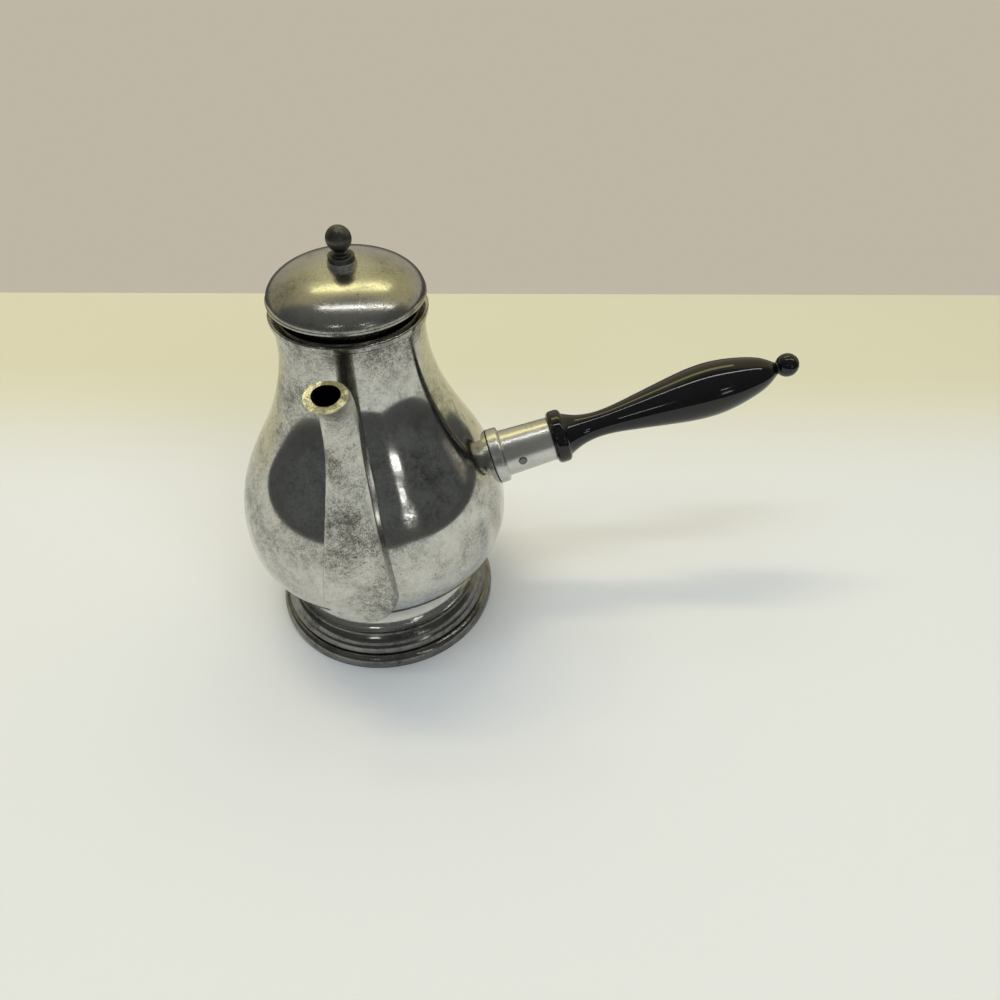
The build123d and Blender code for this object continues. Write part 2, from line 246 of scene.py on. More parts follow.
class Nodes:
    """Short way to build a node tree."""

    def __init__(self, tree: bpy.types.NodeTree) -> None:
        """Takes a tree and empties it."""
        self.tree = tree
        tree.nodes.clear()

    def feed(self, socket: Socket, value: object) -> None:
        """Links an input to a socket, or sets its value.

        Args:
            socket: Input to feed.
            value: Socket, number, colour or vector.
        """
        if isinstance(value, Socket):
            self.tree.links.new(value, socket)
        elif socket.type == "RGBA":
            socket.default_value = (*value, 1)
        else:
            socket.default_value = value

    def add(self, kind: str, settings: dict[str, object] | None = None, **inputs: object) -> Socket | None:
        """Adds a node.

        Args:
            kind: Kind of the node.
            settings: Its properties.
            **inputs: What feeds its inputs, by name with underscores for spaces. A list feeds one input.

        Returns:
            Its first output, if it has one.
        """
        node = self.tree.nodes.new(kind)
        for name, value in (settings or {}).items():
            setattr(node, name, value)
        for name, value in inputs.items():
            for item in value if isinstance(value, list) else [value]:
                self.feed(node.inputs[name.replace("_", " ")], item)
        return node.outputs[0] if len(node.outputs) else None

    def split(self, vector: Socket) -> tuple[Socket, ...]:
        """Gives the three parts of a vector."""
        return tuple(self.add("ShaderNodeSeparateXYZ", Vector=vector).node.outputs)

    def step(self, value: Socket, low: float, high: float, kind: str = "SMOOTHSTEP") -> Socket:
        """Gives a step from nought at low to one at high.

        Args:
            value: Value that the step depends on.
            low: Value of the step's start.
            high: Value of the step's end.
            kind: Kind of the rise between them.

        Returns:
            The step.
        """
        return self.add(
            "ShaderNodeMapRange", {"interpolation_type": kind}, Value=value, From_Min=low, From_Max=high
        )

    def mix(self, share: object, a: object, b: object) -> Socket:
        """Mixes two colours.

        Args:
            share: Share of the second colour.
            a: First colour or socket.
            b: Second colour or socket.

        Returns:
            The mixed colour.
        """
        node = self.tree.nodes.new("ShaderNodeMix")
        node.data_type = "RGBA"
        for place, value in ((0, share), (6, a), (7, b)):
            self.feed(node.inputs[place], value)
        return node.outputs[2]


class Shaping(Nodes):
    """Geometry node tree with named inputs that ends in one plain piece."""

    def __init__(self, name: str, **inputs: str) -> None:
        """Makes a tree with its inputs.

        Args:
            name: Name of the tree.
            **inputs: Kinds of its inputs, by name with underscores for spaces.
        """
        super().__init__(bpy.data.node_groups.new(name, "GeometryNodeTree"))
        face = self.tree.interface
        for label, kind in {**inputs, "Finish": "Material"}.items():
            face.new_socket(label.replace("_", " "), in_out="INPUT", socket_type=f"NodeSocket{kind}")
        face.new_socket("Piece", in_out="OUTPUT", socket_type="NodeSocketGeometry")
        self.inputs = self.add("NodeGroupInput").node.outputs

    def finish(self, shape: Socket) -> bpy.types.NodeTree:
        """Ends the tree with real geometry in its finish.

        Args:
            shape: Geometry of the piece.

        Returns:
            The tree.
        """
        real = self.add("GeometryNodeRealizeInstances", Geometry=shape)
        dressed = self.add("GeometryNodeSetMaterial", Geometry=real, Material=self.inputs["Finish"])
        self.add("NodeGroupOutput", Piece=dressed)
        return self.tree


def lathe_tree() -> bpy.types.NodeTree:
    """Builds the tree that turns a half section about the upright axis.

    Returns:
        A geometry node tree with inputs Section, Steps, Hub and Finish.
    """
    tree = Shaping("Turned Piece", Section="Geometry", Steps="Int", Hub="Float")
    section = tree.add("GeometryNodeMeshToCurve", Mesh=tree.inputs["Section"])
    circle = tree.add(
        "GeometryNodeCurvePrimitiveCircle", Resolution=tree.inputs["Steps"], Radius=tree.inputs["Hub"]
    )
    sweep = tree.add("GeometryNodeCurveToMesh", Curve=circle, Profile_Curve=section)
    return tree.finish(tree.add("GeometryNodeMergeByDistance", Geometry=sweep, Distance=1e-6))


def strainer_tree() -> bpy.types.NodeTree:
    """Builds the tree that drills a ring of round holes and a middle one through a wall.

    Returns:
        A geometry node tree with inputs Wall, Hole Radius, Pitch, Height, Reach, Middle and Finish.
    """
    sizes = ("Hole_Radius", "Pitch", "Height", "Reach", "Middle")
    tree = Shaping("Strainer Holes", Wall="Geometry", **{size: "Float" for size in sizes})
    ring = tree.add("GeometryNodeMeshCircle", Vertices=6, Radius=tree.inputs["Pitch"])
    places = tree.add("GeometryNodeJoinGeometry", Geometry=[ring, tree.add("GeometryNodeMeshLine", Count=1)])
    drill = tree.add(
        "GeometryNodeMeshCylinder",
        Vertices=32, Radius=tree.inputs["Hole Radius"], Depth=tree.inputs["Reach"],
    )
    holes = tree.add("GeometryNodeInstanceOnPoints", Points=places, Instance=drill)
    shift = tree.add("ShaderNodeCombineXYZ", Y=tree.inputs["Middle"], Z=tree.inputs["Height"])
    laid = tree.add(
        "GeometryNodeTransform", Geometry=holes, Rotation=(math.radians(90), 0, 0), Translation=shift
    )
    drills = tree.add("GeometryNodeRealizeInstances", Geometry=laid)
    cut = tree.add(
        "GeometryNodeMeshBoolean", {"operation": "DIFFERENCE", "solver": "MANIFOLD"},
        Mesh_1=tree.inputs["Wall"], Mesh_2=drills,
    )
    return tree.finish(cut)


# Meshes


def bake(obj: Piece, modifier: bpy.types.Modifier) -> None:
    """Keeps what an object's modifier gives as its plain mesh.

    Args:
        obj: Object to bake.
        modifier: Its modifier, which is removed.
    """
    graph = bpy.context.evaluated_depsgraph_get()
    result = bpy.data.meshes.new_from_object(obj.evaluated_get(graph), depsgraph=graph)
    obj.modifiers.remove(modifier)
    old, obj.data = obj.data, result
    bpy.data.meshes.remove(old)


def apply_tree(obj: Piece, tree: bpy.types.NodeTree, values: dict[str, float]) -> None:
    """Runs a geometry tree on an object and keeps the result.

    Args:
        obj: Object that holds the tree's source mesh.
        tree: Geometry node tree.
        values: Values of the tree's named inputs.
    """
    modifier = obj.modifiers.new("shape", "NODES")
    modifier.node_group = tree
    for item in tree.interface.items_tree:
        if item.name in values:
            modifier[item.identifier] = values[item.name]
    bake(obj, modifier)


def cut_away(obj: Piece, tool: Piece) -> None:
    """Takes the space of a closed tool off an object and removes the tool.

    Args:
        obj: Object to cut.
        tool: Closed mesh object.
    """
    modifier = obj.modifiers.new("cut", "BOOLEAN")
    modifier.object, modifier.operation, modifier.solver = tool, "DIFFERENCE", "MANIFOLD"
    bake(obj, modifier)
    bpy.data.objects.remove(tool)


def tidy(mesh: bpy.types.Mesh, crease: float = 32.0) -> None:
    """Closes seams, turns faces outwards and shades a mesh smooth between its sharp edges.

    Args:
        mesh: Mesh to tidy.
        crease: Angle in degrees past which an edge stays sharp.
    """
    shape = bmesh.new()
    shape.from_mesh(mesh)
    bmesh.ops.remove_doubles(shape, verts=shape.verts, dist=2e-6)
    bmesh.ops.dissolve_degenerate(shape, edges=shape.edges, dist=1e-7)
    bmesh.ops.recalc_face_normals(shape, faces=shape.faces)
    for face in shape.faces:
        face.smooth = True
    shape.to_mesh(mesh)
    shape.free()
    mesh.set_sharp_from_angle(angle=math.radians(crease))


def link_mesh(name: str, verts: list, faces: list, edges: list | None = None) -> Piece:
    """Makes a mesh object in metres from points in millimetres.

    Args:
        name: Name of the object.
        verts: Points in millimetres.
        faces: Faces as lists of point numbers.
        edges: Edges as pairs of point numbers.

    Returns:
        The linked object.
    """
    mesh = bpy.data.meshes.new(name)
    mesh.from_pydata([tuple(c * MM for c in v) for v in verts], edges or [], faces)
    obj = bpy.data.objects.new(name, mesh)
    bpy.context.scene.collection.objects.link(obj)
    return obj


def grid(rows: int, wide: int, start: int = 0, ring: bool = True, loop: bool = False) -> list[tuple]:
    """Gives the faces between rows of points.

    Args:
        rows: Number of rows.
        wide: Number of points in a row.
        start: Number of the first point.
        ring: Whether each row closes on itself.
        loop: Whether the last row joins the first.

    Returns:
        Faces as point numbers.
    """
    faces = []
    for i in range(rows if loop else rows - 1):
        for j in range(wide if ring else wide - 1):
            here, after, beside = start + i * wide, start + (i + 1) % rows * wide, (j + 1) % wide
            faces.append((here + j, here + beside, after + beside, after + j))
    return faces


@dataclass
class Lathe:
    """Turns half sections about the upright axis or another one."""

    tree: bpy.types.NodeTree
    hub: float = 10.0

    def turn(self, name: str, outline: Outline, steps: int = ROUND, place: Matrix | None = None) -> Piece:
        """Turns an outline of distances from the axis and heights along it.

        Args:
            name: Name of the piece.
            outline: Half section in millimetres.
            steps: Divisions round the axis.
            place: Where the piece's upright axis goes, in metres.

        Returns:
            The turned piece.
        """
        points = outline.points()
        edges = [(i, i + 1) for i in range(len(points) - 1)]
        if outline.closed:
            edges.append((len(points) - 1, 0))
        obj = link_mesh(name, [(r - self.hub, -z, 0.0) for r, z in points], [], edges)
        apply_tree(obj, self.tree, {"Steps": steps, "Hub": self.hub * MM})
        if place is not None:
            obj.data.transform(place)
        tidy(obj.data)
        return obj


# Finishes


class Shader(Nodes):
    """Short way to build the nodes of one material."""

    def __init__(self, name: str) -> None:
        """Makes a material with a plain surface.

        Args:
            name: Name of the material.
        """
        self.material = bpy.data.materials.new(name)
        self.material.use_nodes = True
        super().__init__(self.material.node_tree)
        surface = self.add("ShaderNodeBsdfPrincipled")
        self.base = surface.node
        self.add("ShaderNodeOutputMaterial", Surface=surface)
        self.place = self.add("ShaderNodeTexCoord").node.outputs["Object"]

    def set(self, **values: object) -> None:
        """Feeds inputs of the surface, by name with underscores for spaces."""
        for name, value in values.items():
            self.feed(self.base.inputs[name.replace("_", " ")], value)

    def noise(
        self, scale: float | Colour, detail: float, rough: float, warp: float = 0.0,
        turn: Colour = (0, 0, 0), shift: Colour = (0, 0, 0),
    ) -> Socket:
        """Gives noise from 0 to 1 on the object's own coordinates, turned and shifted, then stretched.

        Args:
            scale: Cycles for each metre, the same or one by one along the three axes.
            detail: Number of finer layers.
            rough: Weight of the finer layers.
            warp: Distortion.
            turn: Turn about the three axes in degrees.
            shift: Shift before the stretch, in metres.

        Returns:
            The noise value.
        """
        angles = tuple(math.radians(a) for a in turn)
        scales = scale if isinstance(scale, tuple) else (scale,) * 3
        placed = self.add("ShaderNodeMapping", Vector=self.place, Rotation=angles, Location=shift)
        vector = self.add("ShaderNodeMapping", Vector=placed, Scale=scales)
        return self.add(
            "ShaderNodeTexNoise", Vector=vector, Scale=1.0, Detail=detail, Roughness=rough, Distortion=warp
        )

    def ramp(self, value: Socket, low: float, high: float, greys: Point = (0.0, 1.0)) -> Socket:
        """Maps a value through a ramp of two greys.

        Args:
            value: Value to map.
            low: Place of the first grey.
            high: Place of the second grey.
            greys: The two greys.

        Returns:
            The mapped value.
        """
        mapped = self.add("ShaderNodeValToRGB", Fac=value)
        for mark, at, grey in zip(mapped.node.color_ramp.elements, (low, high), greys):
            mark.position = at
            mark.color = (grey, grey, grey, 1)
        return mapped

    def math(self, kind: str, *values: object) -> Socket:
        """Does one sum.

        Args:
            kind: Name of the operation.
            *values: Its values or sockets.

        Returns:
            The result.
        """
        result = self.add("ShaderNodeMath", {"operation": kind})
        for socket, value in zip(result.node.inputs, values):
            self.feed(socket, value)
        return result

    def times(self, a: object, b: object) -> Socket:
        """Multiplies two values."""
        return self.math("MULTIPLY", a, b)

    def weigh(self, *terms: tuple[Socket, float], base: float = 0.0) -> Socket:
        """Adds values by their weights.

        Args:
            *terms: Pairs of value and weight.
            base: What the sum starts from.

        Returns:
            The sum.
        """
        total: object = base
        for value, weight in terms:
            total = self.math("ADD", self.times(value, weight), total)
        return total

    def near(self, centre: Colour, radius: float) -> Socket:
        """Gives a soft spot round a point.

        Args:
            centre: Point in millimetres.
            radius: Reach of the spot in millimetres.

        Returns:
            One at the point, falling to nought at the radius.
        """
        gap = self.add("ShaderNodeVectorMath", {"operation": "DISTANCE"}, Vector=self.place).node
        self.feed(gap.inputs[1], tuple(c * MM for c in centre))
        return self.step(gap.outputs["Value"], radius * MM, 0.0)

    def above(self, height: float) -> Socket:
        """Gives one above a height in millimetres and nought below it."""
        level = self.split(self.place)[2]
        return self.step(level, (height - 0.5) * MM, (height + 0.5) * MM, "LINEAR")

    def crevice_shade(self, reach: float) -> Socket:
        """Gives painted shade for corners: one deep in a corner and nought where all is open within a reach
        in millimetres.
        """
        open_air = self.add("ShaderNodeAmbientOcclusion", {"samples": 8}, Distance=reach * MM)
        return self.ramp(open_air.node.outputs["AO"], 0.35, 0.8, (1.0, 0.0))

    def bump(self, height: Socket, depth: float, strength: float) -> None:
        """Bends the surface by a height from 0 to 1, whose depth is in metres, by a share."""
        self.set(Normal=self.add("ShaderNodeBump", Height=height, Distance=depth, Strength=strength))


@dataclass(frozen=True)
class Pewter:
    """Worn pewter: polished soft metal under a peppery grey bloom, with rubbing marks, dark joins and
    crevices that are partly dirt and partly painted shade, and an optional painted pale band.
    """

    name: str
    bright: Colour = (0.66, 0.655, 0.62)
    dull: Colour = (0.16, 0.158, 0.14)
    speck_tone: Colour = (0.07, 0.07, 0.062)
    painted_reflection_tone: Colour = (0.72, 0.715, 0.68)
    dirt_and_shade_tone: Colour = (0.035, 0.034, 0.03)
    patch: float = 50.0
    grain: float = 620.0
    bloom: float = 0.75
    gloss: float = 0.05
    dulled: float = 0.32
    specks: float = 0.5
    # Share of the painted crevice shade, which also stands for dirt in the joins
    crevice_dirt_and_shade: float = 0.8
    crevice_reach: float = 2.0
    ring_marks: float = 0.3
    ripple: float = 0.3
    axis_turn: Colour = (0.0, 0.0, 0.0)
    stains: tuple[tuple[Colour, float, float], ...] = ()
    # Heights in millimetres between which the metal is painted pale, a painted reflection of the bright table
    # and backdrop, and how much
    pale: tuple[float, float, float] = (0.0, 0.0, 0.0)

    def wear(self, s: Shader, mottle: Socket) -> Socket:
        """Gives how far the bloom covers the metal.

        Args:
            s: Shader of the material.
            mottle: Noise of the finer grain.

        Returns:
            Share of the bloom from 0 to 1.
        """
        grain = self.grain
        blot = s.noise(grain * 0.3, 5, 0.7, 0.6, shift=(0.11, 0.07, 0.05))
        dust = s.noise(grain * 3.2, 3, 0.6, shift=(0.21, 0.17, 0.13))
        rub = s.noise((grain * 0.7, grain * 3.4, grain * 0.7), 3, 0.6, turn=(28, 36, 0))
        swirl = s.noise((grain * 0.5, grain * 0.5, grain * 3.0), 3, 0.6, turn=(-35, 20, 0))
        patches = s.ramp(s.noise(self.patch, 6, 0.62, 0.3), 0.38, 0.64)
        fine = s.ramp(mottle, 0.44, 0.58)
        blots = s.ramp(blot, 0.44, 0.62)
        pepper = s.ramp(dust, 0.50, 0.60)
        marks = s.ramp(s.math("MAXIMUM", rub, swirl), 0.5, 0.68)
        for centre, radius, amount in self.stains:
            patches = s.math("ADD", patches, s.times(s.near(centre, radius), amount))
        grains = s.weigh((pepper, 1.5), (fine, 0.8), (blots, 1.0))
        grime = s.weigh((patches, 0.3), base=0.1)
        worn = s.weigh((s.times(grains, grime), 1.0), (marks, 0.14), (patches, 0.26))
        return s.math("MINIMUM", s.times(worn, self.bloom), 1.0)

    def build(self) -> bpy.types.Material:
        """Builds the finish.

        Returns:
            The node material.
        """
        s = Shader(self.name)
        mottle = s.noise(self.grain, 5, 0.7, 0.4, shift=(0.03, 0.01, 0.02))
        rings = s.noise((30, 30, self.grain * 5), 2, 0.5, turn=self.axis_turn)
        share = self.wear(s, mottle)
        colour = s.mix(share, self.bright, self.dull)
        speck = s.ramp(s.noise(self.grain * 0.75, 2, 0.5, shift=(0.2, 0.1, 0.3)), 0.68, 0.74)
        colour = s.mix(s.times(speck, self.specks), colour, self.speck_tone)
        # Painted reflection: a pale band between two heights stands for the bright table and backdrop
        # mirrored there.
        low, high, amount = self.pale
        if amount:
            band = s.times(s.above(low), s.math("SUBTRACT", 1.0, s.above(high)))
            colour = s.mix(s.times(band, amount), colour, self.painted_reflection_tone)
        # Painted shade: corners and joins found by ambient occlusion are darkened toward a near-black tone,
        # partly dirt in the joins and partly the shade that falls there.
        dirt_and_shade_share = s.times(s.crevice_shade(self.crevice_reach), self.crevice_dirt_and_shade)
        colour = s.mix(dirt_and_shade_share, colour, self.dirt_and_shade_tone)
        rough = s.weigh((share, self.dulled - self.gloss), (dirt_and_shade_share, 0.3), base=self.gloss)
        s.set(Base_Color=colour, Metallic=1.0, Roughness=rough)
        s.bump(s.weigh((rings, self.ring_marks), (mottle, 0.5)), MARK_DEPTH, self.ripple)
        return s.material


@dataclass(frozen=True)
class Lacquer:
    """Gloss black lacquer on turned wood, with faint turning rings and a few fine scratches."""

    name: str
    colour: Colour = (0.0025, 0.0025, 0.003)
    scratch_tone: Colour = (0.05, 0.048, 0.045)
    axis_turn: Colour = (0.0, 0.0, 0.0)

    def build(self) -> bpy.types.Material:
        """Builds the finish.

        Returns:
            The node material.
        """
        s = Shader(self.name)
        across, along, _ = self.axis_turn
        smear = s.noise(90, 5, 0.6)
        rings = s.noise((20, 20, 900), 2, 0.5, turn=self.axis_turn)
        lines = s.noise((260, 260, 2600), 2, 0.5, turn=(across + 20, along + 25, 0))
        tone = s.mix(s.times(s.ramp(lines, 0.62, 0.72), 0.2), self.colour, self.scratch_tone)
        rough = s.weigh((s.ramp(smear, 0.35, 0.75), 0.08), base=0.05)
        s.set(Base_Color=tone, Roughness=rough, IOR=1.5)
        s.bump(s.weigh((rings, 0.6), (smear, 0.4)), MARK_DEPTH, 0.3)
        return s.material


# Sub-assemblies


@dataclass
class Vessel:
    """Pear-shaped body with its neck and the strainer holes behind the spout."""

    base_height: float = 35.0
    base_radius: float = 41.0
    wall: float = 1.4
    side: tuple[Point, ...] = (
        (56.1, 55.0), (51.2, 80.0), (40.7, 100.0), (31.6, 120.0), (27.1, 143.5), (27.5, 150.7)
    )
    hole: float = 2.0
    hole_pitch: float = 6.4
    hole_height: float = 84.0
    drill: float = 60.0
    line: np.ndarray | None = None

    def outer(self, inset: float = 0.0) -> list[Point]:
        """Gives the side's line from the base up to the brim.

        Args:
            inset: Distance that the line is moved inwards.

        Returns:
            Points of distance from the axis and height.
        """
        belly, height = self.side[0]
        centre = (self.base_radius, height)
        reach = (belly - self.base_radius - inset, height - self.base_height - inset)
        line = smooth_line([(r - inset, z) for r, z in self.side], (0, 1), (0.12, 1), 16)
        return arc(centre, reach, -90, 0, 28)[:-1] + line

    def radius(self, height: float) -> float:
        """Gives the body's radius at a height.

        Args:
            height: Height in millimetres.

        Returns:
            The radius in millimetres.
        """
        if self.line is None:
            self.line = np.array(self.outer())
        return float(np.interp(height, self.line[:, 1], self.line[:, 0]))

    def build(self, lathe: Lathe) -> Piece:
        """Turns the vessel and drills its strainer.

        Args:
            lathe: Lathe that turns it.

        Returns:
            The vessel.
        """
        middle, floor = self.base_radius * 0.5, self.base_height + self.wall
        outline = Outline((0, self.base_height), closed=False)
        outline.run((middle, self.base_height), *self.outer(), *self.outer(self.wall)[::-1])
        outline.run((middle, floor), (0, floor))
        piece = lathe.turn("vessel_shell", outline)
        sizes = {
            "Hole Radius": self.hole, "Pitch": self.hole_pitch, "Height": self.hole_height,
            "Reach": self.drill, "Middle": -self.drill / 2,
        }
        apply_tree(piece, strainer_tree(), {name: size * MM for name, size in sizes.items()})
        tidy(piece.data)
        return piece

    def form(self, lathe: Lathe) -> Piece:
        """Turns a closed solid of the vessel's outside, for cutting against.

        Args:
            lathe: Lathe that turns it.

        Returns:
            The solid.
        """
        outer = self.outer()
        outline = Outline((0, self.base_height), closed=False)
        outline.run(*outer, (0, outer[-1][1]))
        return lathe.turn("vessel_form", outline)


@dataclass
class Foot:
    """Stepped spreading foot with a bead, three ridges and a cove up to its waist."""

    radius: float = 50.0
    lip: float = 2.2
    height: float = 35.0
    wall: float = 1.6
    rest: float = 2.6
    waist: float = 38.3
    cove: float = 9.8
    bead: tuple[Point, ...] = ((49.4, 4.1), (48.2, 5.45))
    low: Point = (47.1, 7.7)
    mid: Point = (45.6, 11.9)
    top: Point = (43.25, 16.2)
    riser: float = 1.1
    groove: Point = (0.6, 0.8)
    sag: Point = (0.18, 0.1)

    def build(self, lathe: Lathe) -> Piece:
        """Turns the foot.

        Args:
            lathe: Lathe that turns it.

        Returns:
            The foot.
        """
        ridge, groove = self.low[0], self.low[0] - self.groove[0]
        shelf = self.low[1] - self.riser
        base = shelf - self.groove[1]
        cove_top = self.top[1] + self.cove
        inside = self.waist - self.wall
        out = Outline((self.radius - self.rest, 0))
        out.path((self.radius, 0, 0), (self.radius, self.lip, 0.35))
        out.run(*smooth_line([(self.radius, self.lip), *self.bead, (ridge, base)], (0, 1), None, 8))
        out.path((groove, base, 0.12), (groove, shelf, 0.1), (ridge, shelf, 0.1), (*self.low, 0.12))
        for start, end in ((self.low, self.mid), (self.mid, self.top)):
            foot = (end[0], end[1] - self.riser)
            middle = tuple((a + b) / 2 + sag for a, b, sag in zip(start, foot, self.sag))
            out.run(*smooth_line([start, middle, foot], None, None, 6), ease=0.28)
            out.path((*end, 0.16))
        out.run(*arc((self.top[0], cove_top), (self.top[0] - self.waist, self.cove), 270, 180, 20), ease=0.3)
        out.path(
            (self.waist, self.height, 0),
            (inside, self.height, 0),
            (inside, cove_top, 0.2),
            (self.top[0] - 2 * self.wall, self.top[1], 2),
            (ridge - 1.5 * self.wall, shelf, 2),
            (self.radius - self.rest, 0, 0.6),
        )
        return lathe.turn("foot_ring_turned", out)


@dataclass
class Rim:
    """Rounded band on the brim, a thin ring below it, and the seat inside the neck."""

    brim: float = 27.5
    height: float = 150.7
    overhang: float = 1.0
    band: float = 2.6
    inner: float = 25.05
    seat: float = 22.8
    seat_top: float = 147.3
    seat_thickness: float = 1.2
    sleeve: float = 25.65
    ring: Point = (0.6, 0.8)
    play: float = 0.02

    def build(self, lathe: Lathe) -> Piece:
        """Turns the rim band.

        Args:
            lathe: Lathe that turns it.

        Returns:
            The rim band.
        """
        top, edge, neck = self.height + self.band, self.brim + self.overhang, self.brim + self.play
        low = self.seat_top - self.seat_thickness
        ring, ring_low = self.brim + self.ring[0], self.height - self.ring[1]
        out = Outline((self.seat, low))
        out.path(
            (self.sleeve, low, 0),
            (self.sleeve, self.height, 0.05),
            (neck, self.height, 0.05),
            (neck, ring_low, 0),
            (ring, ring_low, 0),
            (ring, self.height, 0.3),
            (edge, self.height + self.band / 4, 0.08),
            (edge, top, 0.3),
            (self.inner, top, 1.5),
            (self.inner, self.seat_top, 1.2),
            (self.seat, self.seat_top, 0.2),
            (self.seat, low, 0.2),
        )
        return lathe.turn("rim_band_turned", out)


@dataclass
class Lid:
    """Domed lid with its lip, and the bezel under it."""

    base: float = 157.5
    edge: float = 0.9
    lip: float = 28.2
    step: float = 0.3
    rise: float = 10.5
    fullness: Point = (2.55, 1.885)
    wall: float = 1.3
    hole: float = 1.55
    flat: float = 2.48
    bezel: float = 23.9
    bezel_wall: float = 1.2
    bezel_low: float = 147.6
    bezel_play: float = 0.02

    def dome(self, inset: float = 0.0) -> list[Point]:
        """Gives the dome's line from its lip to its top.

        Args:
            inset: Distance that the line is moved inwards.

        Returns:
            Points of distance from the axis and height.
        """
        reach, rise, start = self.lip - self.step - inset, self.rise - inset, self.base + self.edge
        line = []
        for turn in np.linspace(0, 90, 61):
            across = max(0.0, math.cos(math.radians(turn))) ** (2 / self.fullness[0])
            up = math.sin(math.radians(turn)) ** (2 / self.fullness[1])
            line.append((reach * across if turn < 90 else 0.0, start + rise * up))
        return line

    def build_shell(self, lathe: Lathe) -> Piece:
        """Turns the lid's shell, with the stud's hole in its top.

        Args:
            lathe: Lathe that turns it.

        Returns:
            The shell.
        """
        outer, inner = (
            [p for p in line if p[0] > self.flat] + [(self.hole, line[-1][1])]
            for line in (self.dome(), self.dome(self.wall))
        )
        out = Outline((self.lip - self.step - self.wall, self.base))
        out.path((self.lip, self.base, 0), (self.lip, self.base + self.edge, 0.3), (*outer[0], 0.28))
        out.run(*outer, ease=0.08)
        out.path((*inner[-1], 0))
        out.run(*inner[::-1])
        out.path((inner[0][0], self.base, 0))
        return lathe.turn("lid_shell_turned", out)

    def build_bezel(self, lathe: Lathe) -> Piece:
        """Turns the bezel that drops into the neck.

        Args:
            lathe: Lathe that turns it.

        Returns:
            The bezel.
        """
        inside, top = self.bezel - self.bezel_wall, self.base + self.edge
        flange = self.lip - self.step - self.wall - self.bezel_play
        out = Outline((inside, self.bezel_low))
        corners = (
            (self.bezel, self.bezel_low), (self.bezel, self.base), (flange, self.base),
            (flange, top), (inside, top), out.start,
        )
        out.path(*((*corner, 0.25) for corner in corners))
        return lathe.turn("lid_bezel_turned", out, 192)


@dataclass
class Finial:
    """Ball on a neck, with its stud, above a stepped collar."""

    apex: float = 168.9
    collar: float = 5.1
    flange: float = 1.4
    drum: Point = (4.6, 2.1)
    tier: Point = (3.5, 0.7)
    stud: float = 1.5
    stud_low: float = 163.55
    play: float = 0.05
    neck: float = 2.0
    neck_foot: Point = (0.5, 0.6)
    ball: float = 4.4
    ball_rise: float = 9.1

    def build_collar(self, lathe: Lathe, lid: Lid) -> Piece:
        """Turns the stepped collar, whose underside follows the dome.

        Args:
            lathe: Lathe that turns it.
            lid: Lid that it stands on.

        Returns:
            The collar.
        """
        dome = sorted(lid.dome())
        under = [p for p in dome if self.stud < p[0] < self.collar]
        start = (self.collar, float(np.interp(self.collar, *zip(*dome))))
        hole, flange_top = self.stud + self.play, self.apex + self.flange
        drum_top = flange_top + self.drum[1]
        tier_top = drum_top + self.tier[1]
        out = Outline(start)
        out.path(
            (self.collar, self.apex + self.flange / 2, 0),
            (self.collar, flange_top, 0.1),
            (self.drum[0], flange_top, 0.4),
            (self.drum[0], drum_top, 0.12),
            (self.tier[0], drum_top, 0.35),
            (self.tier[0], tier_top, 0.1),
            (hole, tier_top, 0.3),
            (hole, self.apex, 0),
        )
        out.run(*under, start)
        return lathe.turn("finial_collar_turned", out, 96)

    def build_knob(self, lathe: Lathe) -> Piece:
        """Turns the ball, its neck and its stud in one piece.

        Args:
            lathe: Lathe that turns it.

        Returns:
            The knob.
        """
        foot, rise = self.neck_foot
        tier_top = self.apex + self.flange + self.drum[1] + self.tier[1]
        ball = ball_line(self.apex + self.ball_rise, self.ball, self.neck, 48)
        out = Outline((0, self.stud_low), closed=False)
        out.path((self.stud, self.stud_low, 0), (self.stud, tier_top, 0.25), (self.neck + foot, tier_top, 0))
        out.run((self.neck, tier_top + rise), ball[0], ease=0.1)
        out.run(*ball, ease=0.3)
        return lathe.turn("finial_knob_turned", out, 96)


